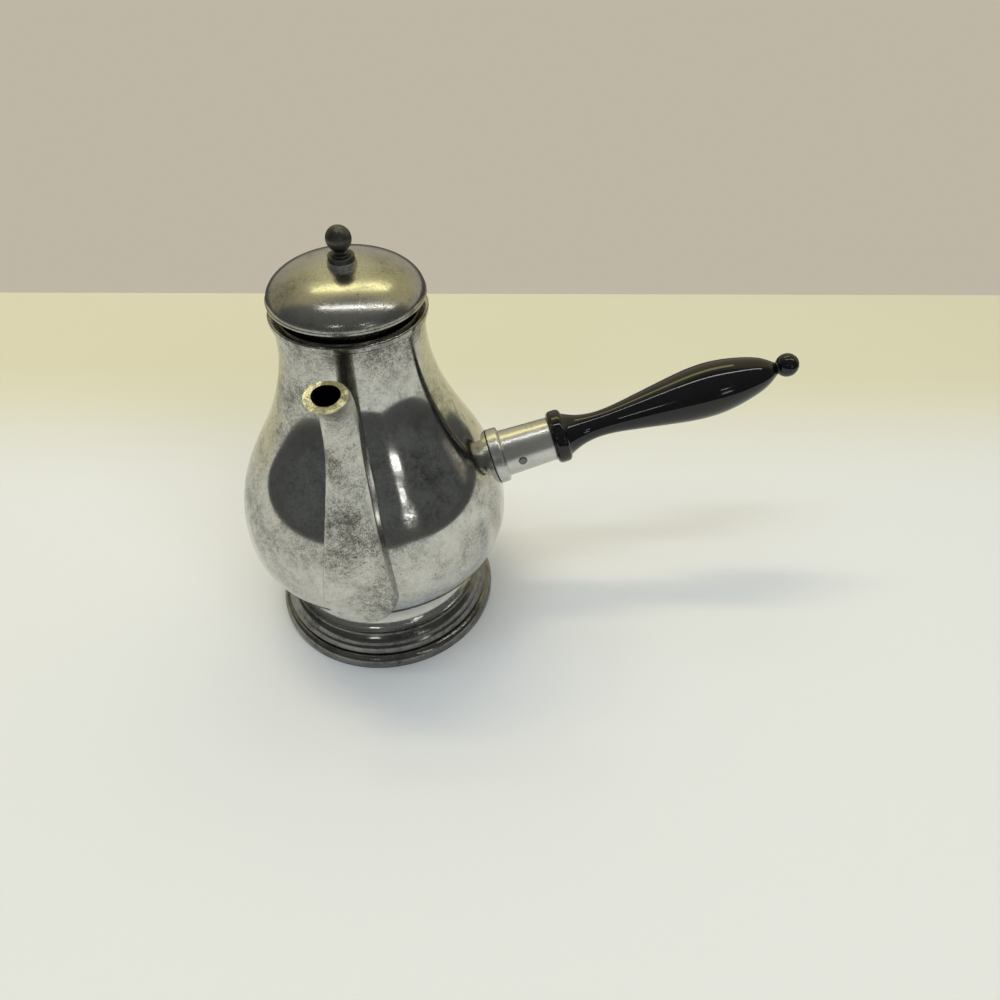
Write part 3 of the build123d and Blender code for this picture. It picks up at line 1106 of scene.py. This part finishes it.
@dataclass
class Handle:
    """Socket on the body, its tube, the turned black handle and the pin across them."""

    turn: float = 10.0
    slope: float = 14.5
    foot: Point = (52.85, 74.2)
    collar: Point = (12.1, 4.0)
    collar_round: float = 1.3
    collar_bevel: Point = (0.25, 0.3)
    bore: float = 8.75
    tube_low: float = 10.05
    tube_top: float = 9.4
    tube_end: float = 25.6
    tube_wall: float = 1.3
    flare: float = 0.7
    tenon: float = 17.0
    play: float = 0.05
    bead: Point = (11.55, 6.55)
    bead_round: float = 2.2
    swell: tuple[Point, ...] = (
        (8.7, 33.2), (7.0, 37.4), (5.55, 46.0), (6.7, 58.85), (9.75, 77.5),
        (11.55, 96.5), (8.9, 112.9), (5.8, 120.9), (2.6, 125.4),
    )
    ball: Point = (5.0, 130.3)
    pin: Point = (1.8, 11.1)
    pin_tilt: float = 8.0
    pin_half: float = 10.35
    steps: int = 160
    seat_reach: float = 20.0
    seat_halvings: int = 40

    def place(self) -> Matrix:
        """Gives the matrix that lays an upright axis along the handle.

        Returns:
            The matrix, in metres.
        """
        turn = Matrix.Rotation(math.radians(self.turn), 4, "Z")
        start = Matrix.Translation((self.foot[0] * MM, 0, self.foot[1] * MM))
        return turn @ start @ Matrix.Rotation(math.radians(90 - self.slope), 4, "Y")

    def build_tube(self, lathe: Lathe) -> Piece:
        """Turns the tapered tube, with a cove at its foot.

        Args:
            lathe: Lathe that turns it.

        Returns:
            The tube.
        """
        foot, inside = self.collar[1], self.tube_top - self.tube_wall
        out = Outline((self.bore, foot))
        out.run(*arc((self.tube_low + self.flare, foot + self.flare), (self.flare,) * 2, 270, 180, 8))
        out.path((self.tube_top, self.tube_end, 0), (inside, self.tube_end, 0.18), (self.bore, foot, 0.1))
        return lathe.turn("socket_tube_turned", out, self.steps, self.place())

    def build_base(self, vessel: Vessel) -> Piece:
        """Shapes the collar, whose inner end follows the body.

        Args:
            vessel: Body that it sits on.

        Returns:
            The collar.
        """
        place = self.place()
        bore, soft = self.bore, self.collar_round
        (rim, length), (bevel, rise) = self.collar, self.collar_bevel

        def spot(radius: float, turn: float, along: float) -> Vector:
            """Gives a point round the handle's axis in millimetres."""
            return place @ (Vector((radius * math.cos(turn), radius * math.sin(turn), along)) * MM) / MM

        def seat(radius: float, turn: float) -> float:
            """Finds where a line along the handle's axis meets the body.

            Args:
                radius: Distance of the line from the axis.
                turn: Angle round the axis in radians.

            Returns:
                The place along the axis in millimetres.
            """
            low, high = -self.seat_reach, self.seat_reach
            for _ in range(self.seat_halvings):
                mid = (low + high) / 2
                p = spot(radius, turn, mid)
                low, high = (low, mid) if math.hypot(p.x, p.y) > vessel.radius(p.z) else (mid, high)
            return (low + high) / 2

        rows = []
        for turn in np.linspace(0, 2 * math.pi, self.steps, endpoint=False):
            row = [(bore, seat(bore, turn)), (rim - bevel, seat(rim - bevel, turn))]
            row += [(rim, seat(rim, turn) + rise), *arc((rim - soft, length - soft), (soft, soft), 0, 90, 8)]
            rows.append([tuple(spot(r, turn, s)) for r, s in (*row, (bore, length))])
        obj = link_mesh("socket_base_turned", sum(rows, []), grid(len(rows), len(rows[0]), loop=True))
        tidy(obj.data)
        return obj

    def build_grip(self, lathe: Lathe) -> Piece:
        """Turns the wooden handle from its tenon to its end ball.

        Args:
            lathe: Lathe that turns it.

        Returns:
            The handle.
        """
        end = self.tube_end
        thick = self.tube_top - self.tube_wall
        taper = (self.tube_low - self.tube_top) / (end - self.collar[1])
        radius, length = self.bead
        soft = self.bead_round
        swell = smooth_line(list(self.swell), None, None, 14)
        ball = ball_line(self.ball[1], self.ball[0], self.swell[-1][0], 36)
        start = end - self.tenon
        out = Outline((0, start), closed=False)
        out.path((thick + taper * self.tenon - self.play, start, 0), (thick - self.play, end, 0.6))
        out.run(
            *arc((radius - soft, end + soft), (soft, soft), -90, 0, 10),
            *arc((radius - soft, end + length - soft), (soft, soft), 0, 90, 10),
            swell[0],
        )
        out.run(*swell, ease=0.4)
        out.path((*ball[0], 0.1))
        out.run(*ball, ease=0.15)
        return lathe.turn("handle_grip_turned", out, self.steps, self.place())

    def build_pin(self, lathe: Lathe) -> Piece:
        """Turns the pin that crosses the socket.

        Args:
            lathe: Lathe that turns it.

        Returns:
            The pin.
        """
        radius, at = self.pin
        half = self.pin_half
        across = Matrix.Rotation(math.radians(-self.pin_tilt), 4, "Z") @ Matrix.Rotation(-math.pi / 2, 4, "X")
        place = self.place() @ Matrix.Translation((0, 0, at * MM)) @ across
        out = Outline((0, -half), closed=False)
        out.path((radius, -half, 0), (radius, half, 0.45), (0, half, 0.45))
        return lathe.turn("handle_pin_turned", out, 64, place)


@dataclass
class Spout:
    """Cast spout: a tapered shield on the belly that turns into a round tube with a flared lip."""

    # Distance before the axis, height, lean, face width, depth, side draft, corner and wall
    stations: tuple[tuple[float, ...], ...] = (
        (47.3, 57.5, 0.0, 26.6, 24.0, 17.0, 1.9, 1.6),
        (48.6, 67.5, -5.5, 24.6, 21.0, 14.0, 2.0, 1.6),
        (47.6, 84.5, -12.5, 20.6, 17.0, 4.0, 2.4, 1.6),
        (43.4, 104.0, -13.5, 16.1, 14.4, 1.5, 3.4, 1.6),
        (40.5, 121.0, -6.5, 13.2, 13.2, 0.5, 4.6, 1.6),
        (41.2, 136.5, 17.0, 12.6, 12.4, 0.2, 5.4, 1.6),
        (45.0, 144.6, 29.0, 12.4, 11.8, 0.2, 5.2, 1.6),
        (49.7, 149.4, 10.0, 14.4, 14.4, 0.2, 6.75, 2.45),
    )
    mouth_aside: float = -0.7
    bore_back: float = 0.6
    crown: float = 0.7
    crease: float = 38.0
    corner_steps: int = 10
    side_steps: int = 12
    rows: int = 14
    lower_turns: int = 48
    spread: float = 1e3
    # Least cosine between a face and the way to the bore's middle where the face is the channel's
    facing: float = 0.35

    def section(self, station: tuple[float, ...], walled: bool) -> np.ndarray:
        """Gives the closed section at a station.

        Args:
            station: Sizes of the station.
            walled: Whether the section is that of the channel.

        Returns:
            Points in millimetres, from the left corner of the back, by the right, round to the left.
        """
        reach, height, lean, face, depth, draft, corner, wall = station
        inset = wall if walled else 0.0
        front = face / 2 - inset
        half = depth / 2 - inset
        back = front + 2 * half * math.tan(math.radians(draft))
        radius = corner - inset
        level = half - self.crown
        corners = [np.array(p) for p in ((-back, -half), (back, -half), (front, level), (-front, level))]
        ends = []
        for i, c in enumerate(corners):
            a = corners[i - 1] - c
            b = corners[(i + 1) % 4] - c
            a, b = a / np.linalg.norm(a), b / np.linalg.norm(b)
            angle = math.acos(float(np.clip(a.dot(b), -1, 1)))
            cut = radius / math.tan(angle / 2)
            centre = c + (a + b) / np.linalg.norm(a + b) * radius / math.sin(angle / 2)
            start, end = c + a * cut - centre, c + b * cut - centre
            first = math.atan2(start[1], start[0])
            sweep = (math.atan2(end[1], end[0]) - first + math.pi) % (2 * math.pi) - math.pi
            turns = first + sweep * np.linspace(0, 1, self.corner_steps + 1)
            ends.append([centre + radius * np.array([math.cos(t), math.sin(t)]) for t in turns])
        loop: list[np.ndarray] = []
        for i in range(4):
            loop.extend(ends[i])
            a, b = ends[i][-1], ends[(i + 1) % 4][0]
            loop.extend(a + (b - a) * t for t in np.linspace(0, 1, self.side_steps + 1)[1:-1])
        shape = np.array(loop)
        swell = self.crown * (1 - (shape[:, 0] / front) ** 2)
        shape[:, 1] += np.clip(swell, 0, None) * np.clip(shape[:, 1] / level, 0, 1)
        turn = math.radians(lean)
        ahead, rise = shape[:, 1] * math.cos(turn), shape[:, 1] * math.sin(turn)
        return np.column_stack([shape[:, 0], -reach - ahead, height - rise])

    def skin(self, walled: bool) -> tuple[np.ndarray, np.ndarray]:
        """Gives the loft's rows and the rows of the round lower end.

        Args:
            walled: Whether the rows are those of the channel.

        Returns:
            Rows of the loft, and rows of the lower end by turn.
        """
        sections = np.array([self.section(s, walled) for s in self.stations])
        centres = np.array([s[:2] for s in self.stations])
        span = np.linalg.norm(np.diff(centres, axis=0), axis=1)
        # The first column is far longer than the others, so that it alone spaces the curve
        spacing = np.concatenate([[0], np.cumsum(span)])[:, None] * self.spread
        keyed = np.column_stack([spacing, sections.reshape(len(sections), -1)])
        keyed[-1, 1::3] += self.mouth_aside
        keyed[-1, 2::3] += self.bore_back * walled
        loft = np.array(smooth_line([tuple(r) for r in keyed], None, None, self.rows))[:, 1:]
        root = sections[0]
        right = root[root[:, 0] >= -1e-6]
        reach, level = self.stations[0][:2]
        right = right[np.argsort(np.arctan2(right[:, 1] + reach, right[:, 0]))]
        lower = [
            [(x * math.cos(t), y, level - x * math.sin(t)) for x, y, _ in right]
            for t in np.radians(np.linspace(0, 180, self.lower_turns + 1))
        ]
        return loft.reshape(len(loft), -1, 3), np.array(lower)

    def build(self, tool: Piece) -> Piece:
        """Joins the skins and cuts them to the body.

        Args:
            tool: Closed form of the vessel's outside.

        Returns:
            The spout.
        """
        solids = []
        for walled, name in ((False, "spout_cast"), (True, "spout_channel")):
            loft, lower = self.skin(walled)
            if walled:
                lean = math.radians(self.stations[-1][2])
                past = loft[-1] + np.array([0.0, -math.sin(lean), math.cos(lean)])
                loft = np.concatenate([loft, past[None]])
            rows, wide = loft.shape[:2]
            count = rows * wide
            faces = [*grid(rows, wide), tuple(range(count - wide, count))]
            faces += grid(*lower.shape[:2], start=count, ring=False)
            solids.append(link_mesh(name, [*loft.reshape(-1, 3), *lower.reshape(-1, 3)], faces))
            tidy(solids[-1].data)
        cast, channel = solids
        cut_away(cast, channel)
        cut_away(cast, tool)
        tidy(cast.data, self.crease)
        self.mark_bore(cast.data)
        return cast

    def mark_bore(self, mesh: bpy.types.Mesh) -> None:
        """Gives the faces of the channel the second finish.

        Args:
            mesh: Mesh of the spout.
        """
        middle = [(0.0, -station[0], station[1]) for station in self.stations]
        line = np.array(smooth_line(middle, None, None, 20))
        for face in mesh.polygons:
            away = np.array(face.center) / MM - line
            gap = np.linalg.norm(away, axis=1)
            nearest = int(np.argmin(gap))
            outward = float(away[nearest] @ np.array(face.normal))
            face.material_index = int(outward < -self.facing * gap[nearest])


# Studio


@dataclass
class Studio:
    """Pale table, lamps, surroundings and camera."""

    table: tuple[float, float, float, float] = (-0.62, 0.58, -0.86, 0.28)
    place: Colour = (0.0542, -0.2475, 0.2969)
    down: float = 44.18
    roll: float = 0.15
    lens: float = 28.08
    sensor: float = 36.0
    nearest: float = 0.01
    low_lamp: float = 1.5
    aim: Colour = (0.0, 0.0, 0.1)

    def build_table(self) -> None:
        """Lays the pale cloth."""
        x0, x1, y0, y1 = self.table
        corners = [(x / MM, y / MM, -0.05) for x, y in ((x0, y0), (x1, y0), (x1, y1), (x0, y1))]
        obj = link_mesh("table", corners, [(0, 1, 2, 3)])
        s = Shader("pale_cloth")
        weave, folds = s.noise(1500, 3, 0.6), s.noise(9, 3, 0.5)
        # Painted warm light: the cloth turns cream towards the back, where the warm lamps fall.
        warm_light = s.step(s.split(s.place)[1], 0.06, 0.19)
        tone = s.mix(warm_light, (0.78, 0.78, 0.77), (0.71, 0.675, 0.50))
        s.set(Base_Color=tone, Roughness=0.9, Specular_IOR_Level=0.1)
        s.bump(s.weigh((weave, 0.02), (folds, 1.0)), 0.004, 0.25)
        obj.data.materials.append(s.material)

    def build_world(self) -> None:
        """Sets the surroundings: a dim room before the pot, a pale backdrop behind it."""
        world = bpy.data.worlds.new("room")
        bpy.context.scene.world = world
        world.use_nodes = True
        n = Nodes(world.node_tree)
        x, y, z = n.split(n.add("ShaderNodeTexCoord").node.outputs["Generated"])
        ceiling = (0.17, 0.17, 0.162)
        front = n.mix(n.step(z, 0.2, 0.95), (0.11, 0.116, 0.114), ceiling)
        back = n.mix(n.step(z, 0.25, 0.55), (0.55, 0.51, 0.41), (0.62, 0.57, 0.33))
        back = n.mix(n.step(x, -0.9, -0.2), (0.38, 0.36, 0.25), back)
        back = n.mix(n.step(z, 0.86, 0.97), back, ceiling)
        around = n.mix(n.step(y, 0.05, 0.3), front, back)
        room = n.mix(n.step(z, -0.06, 0.0), (0.09, 0.093, 0.091), around)
        in_camera = n.add("ShaderNodeLightPath").node.outputs["Is Camera Ray"]
        seen = n.mix(in_camera, room, (0.52, 0.47, 0.38))
        n.add("ShaderNodeOutputWorld", Surface=n.add("ShaderNodeBackground", Color=seen, Strength=1.0))

    def build_lamps(self) -> None:
        """Hangs the lamps that the metal mirrors, and softer ones that light the table."""
        white, warm_light = (1.0, 1.0, 0.98), (1.0, 0.94, 0.5)
        seen = (
            ("white_strip", (0.65, 0.06, 2.0), (2.8, 0.07), 7.5, white),
            ("warm_strip", (-0.12, 1.42, 2.0), (1.7, 0.5), 6.6, warm_light),
            ("front_left", (-0.7, -3.4, 2.0), (0.6, 0.2), 4.0, white),
            ("front_right", (2.12, -3.4, 2.0), (0.6, 0.2), 4.0, white),
            ("window_pane", (1.217, -1.598, 0.424), (0.3, 0.11), 0.45, white),
            ("window_light", (1.173, -1.60, 0.59), (0.2, 0.03), 0.06, white),
        )
        felt = (
            ("cool_tube", (-0.46, -0.34, 2.0), (1.2, 0.16), 6.2, (0.75, 0.87, 1.0)),
            ("warm_tube", (-0.64, 0.56, 2.0), (1.2, 0.16), 11.2, (1.0, 0.86, 0.52)),
            ("ceiling_glow", (0.0, 0.3, 2.6), (3.0, 3.0), 30.5, (0.9, 0.95, 1.0)),
            ("front_fill", (0.9, -1.3, 1.2), (1.2, 0.8), 11.0, (0.84, 0.92, 1.0)),
        )
        for lamp in seen:
            self.lamp(*lamp).visible_diffuse = False
        for lamp in felt:
            self.lamp(*lamp).visible_glossy = False

    def lamp(self, name: str, spot: Colour, size: Point, power: float, colour: Colour) -> Piece:
        """Adds a rectangular lamp that faces down, or faces the pot where it hangs low.

        Args:
            name: Name of the lamp.
            spot: Its place in metres.
            size: Its width and height in metres.
            power: Its power in watts.
            colour: Its colour.

        Returns:
            The lamp.
        """
        data = bpy.data.lights.new(name, "AREA")
        data.shape, data.size, data.size_y = "RECTANGLE", size[0], size[1]
        data.energy, data.color = power, colour
        obj = bpy.data.objects.new(name, data)
        bpy.context.scene.collection.objects.link(obj)
        obj.location = spot
        if spot[2] < self.low_lamp:
            obj.rotation_euler = (Vector(self.aim) - Vector(spot)).to_track_quat("-Z", "Y").to_euler()
        return obj

    def build_camera(self) -> None:
        """Places the camera."""
        data = bpy.data.cameras.new("view")
        data.lens, data.sensor_width, data.clip_start = self.lens, self.sensor, self.nearest
        obj = bpy.data.objects.new("view", data)
        bpy.context.scene.collection.objects.link(obj)
        obj.location = self.place
        tilt = Matrix.Rotation(math.radians(90 - self.down), 4, "X")
        obj.rotation_euler = (tilt @ Matrix.Rotation(math.radians(self.roll), 4, "Z")).to_euler()
        bpy.context.scene.camera = obj


@dataclass
class Finishes:
    """Builds the finishes once and keeps them by slot."""

    made: dict[Slot, bpy.types.Material] = field(default_factory=dict)
    bore: bpy.types.Material | None = None

    def build(self) -> None:
        """Builds every finish."""
        tilt = (0.0, -75.5, -10.0)
        body = Pewter(
            "pewter_body_worn", gloss=0.035, dulled=0.22,
            stains=(
                ((-50, -14, 78), 34, 1.3), ((-36, -34, 46), 16, 0.7), ((22, -14, 147), 20, 0.6),
                ((-22, -16, 128), 24, 0.9), ((21, -42, 88), 9, 0.8), ((-20, -14, 147), 12, 0.7),
                ((0, -28, 151), 12, 1.2), ((-14, -24, 151), 10, 1.0), ((14, -24, 151), 10, 1.0),
                ((-26, -8, 151), 12, 1.0), ((27, -6, 151), 12, 1.0), ((34, -30, 52), 16, 0.5),
            ),
        )
        # Painted shade: the foot's pewter is a darker copy of the body's, standing for the shade and dark
        # reflections under the belly; its pale band over the cove is a painted reflection of the bright
        # table, and its crevices get full painted shade.
        foot = Pewter(
            "pewter_foot_worn_and_shaded", (0.29, 0.286, 0.27), (0.065, 0.063, 0.058), bloom=0.9, gloss=0.07,
            crevice_dirt_and_shade=1.0, pale=(16.9, 40.0, 0.72),
        )
        spout = Pewter(
            "pewter_spout_worn", bloom=0.9, crevice_dirt_and_shade=1.0, crevice_reach=3.5, specks=0.9, gloss=0.12, dulled=0.36,
            stains=(
                ((-2, -52, 98), 14, 1.2), ((-4, -46, 118), 10, 0.8), ((6, -54, 86), 9, 0.8),
                ((15, -46, 84), 7, 1.1), ((17, -47, 70), 7, 1.1), ((11, -43, 100), 6, 1.0),
                ((18, -44, 58), 8, 1.2), ((15, -44, 47), 8, 1.1), ((5, -42, 40), 8, 0.8),
                ((-0.7, -49, 151), 11, 1.5), ((3, -44, 151), 8, 0.8),
            ),
        )
        # Painted reflection: the lid is kept pale just under the collar, a bright ring where the collar's
        # dark reflection would fall.
        lid = Pewter(
            "pewter_lid_worn", (0.48, 0.47, 0.43), (0.2, 0.197, 0.17), gloss=0.17, dulled=0.36,
            crevice_dirt_and_shade=0.3, pale=(168.4, 175.0, 0.5),
        )
        # Painted reflection: the collar's flange is kept pale, a painted cream ring at its base.
        finial = Pewter(
            "pewter_finial_dark", (0.13, 0.127, 0.118), (0.07, 0.069, 0.062), gloss=0.34, dulled=0.5,
            crevice_dirt_and_shade=0.2, pale=(160.0, 170.2, 0.8),
        )
        hinge = Pewter("pewter_hinge_cast", (0.46, 0.45, 0.42))
        socket = Pewter(
            "bright_turned", (0.66, 0.655, 0.63), (0.4, 0.395, 0.375), bloom=0.6, gloss=0.3, specks=0.2,
            ring_marks=1.0, axis_turn=tilt,
        )
        pin = Pewter("dark_steel", (0.2, 0.195, 0.19), (0.1, 0.1, 0.095), gloss=0.25)
        wood = Lacquer("black_lacquer", axis_turn=tilt)
        made = (body, foot, spout, lid, finial, hinge, socket, pin, wood)
        self.made = {slot: finish.build() for slot, finish in zip(Slot, made)}
        # Painted shade: the spout's channel gets a near-black finish for the shade inside the bore.
        bore = Pewter("spout_bore_painted_shade", (0.05, 0.05, 0.045), (0.03, 0.03, 0.027), gloss=0.45, dulled=0.6)
        self.bore = bore.build()

    def dress(self, obj: Piece, slot: Slot) -> None:
        """Gives an object one finish, and the spout's channel a second one.

        Args:
            obj: Object to dress.
            slot: Slot of the finish.
        """
        marks = [face.material_index for face in obj.data.polygons]
        obj.data.materials.clear()
        obj.data.materials.append(self.made[slot])
        if slot is Slot.SPOUT:
            obj.data.materials.append(self.bore)
            obj.data.polygons.foreach_set("material_index", marks)


def settle(obj: Piece, body: Part, slot: Slot, nodes: list[str], finishes: Finishes) -> None:
    """Dresses a piece, sets it on its body and lets it stand for its solids.

    Args:
        obj: Piece to settle.
        body: Body that it rides on.
        slot: Slot of its finish.
        nodes: Solids that it stands for.
        finishes: Finishes of the object.
    """
    finishes.dress(obj, slot)
    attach(obj, body.value)
    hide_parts(*nodes)
    LOG.info("%s: %d faces on %s", obj.name, len(obj.data.polygons), body.value)


def main() -> None:
    """Builds the pot's looks and its studio."""
    logging.basicConfig(level=logging.INFO, format="%(name)s %(message)s")
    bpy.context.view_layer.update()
    finishes = Finishes()
    finishes.build()
    lathe = Lathe(lathe_tree())
    vessel, lid, finial, handle = Vessel(), Lid(), Finial(), Handle()
    pieces = (
        (vessel.build(lathe), Part.POT, Slot.BODY, "vessel_upper", "vessel_bowl"),
        (Foot().build(lathe), Part.POT, Slot.FOOT, "foot_ring"),
        (Rim().build(lathe), Part.POT, Slot.BODY, "rim_band"),
        (Spout().build(vessel.form(lathe)), Part.POT, Slot.SPOUT, "spout"),
        (handle.build_base(vessel), Part.POT, Slot.SOCKET, "socket_base"),
        (handle.build_tube(lathe), Part.POT, Slot.SOCKET, "socket_tube"),
        (handle.build_grip(lathe), Part.POT, Slot.WOOD, "handle_grip"),
        (handle.build_pin(lathe), Part.POT, Slot.PIN, "handle_pin"),
        (lid.build_shell(lathe), Part.LID, Slot.LID, "lid_shell"),
        (lid.build_bezel(lathe), Part.LID, Slot.LID, "lid_bezel"),
        (finial.build_collar(lathe, lid), Part.LID, Slot.FINIAL, "finial_collar"),
        (finial.build_knob(lathe), Part.LID, Slot.FINIAL, "finial_knob"),
    )
    for obj, body, slot, *nodes in pieces:
        settle(obj, body, slot, nodes, finishes)
    plain = {
        "hinge_body_leaf": Slot.HINGE,
        "hinge_lid_leaf": Slot.HINGE,
        "hinge_pin": Slot.PIN,
        "finial_washer": Slot.PIN,
        "finial_nut": Slot.PIN,
    }
    for node, slot in plain.items():
        finishes.dress(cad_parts[node], slot)
        LOG.info("%s keeps its solid", node)
    studio = Studio()
    studio.build_camera()
    studio.build_table()
    studio.build_world()
    studio.build_lamps()
    bpy.context.scene.view_settings.view_transform = "Standard"


if __name__ == "__main__":
    main()
